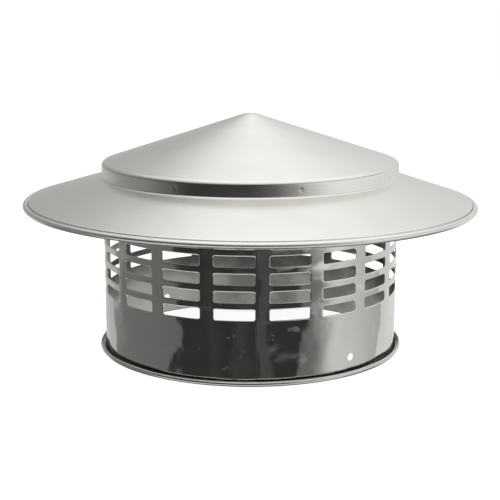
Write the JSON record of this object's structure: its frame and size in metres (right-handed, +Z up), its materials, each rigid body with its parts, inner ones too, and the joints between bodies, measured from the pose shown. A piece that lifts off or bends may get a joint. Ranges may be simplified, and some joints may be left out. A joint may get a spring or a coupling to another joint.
{
  "type": "chimney cap",
  "caption": "Round chimney cap: a slotted sheet collar with a rolled foot under a wide conical rain hat with a stepped crown and a rolled rim.",
  "frame": {"origin": "on the collar's axis, in the plane that its rolled foot stands on", "axes": "+Z up along the collar's axis, -Y towards the front that the picture shows, +X to the picture's right"},
  "size_m": [0.3096, 0.3096, 0.161],
  "materials": {
    "hat_steel": "satin brushed stainless steel",
    "collar_steel": "mirror bright stainless steel"
  },
  "bodies": {
    "root": {"hat": "hat_steel", "collar": "collar_steel"}
  },
  "joints": []
}
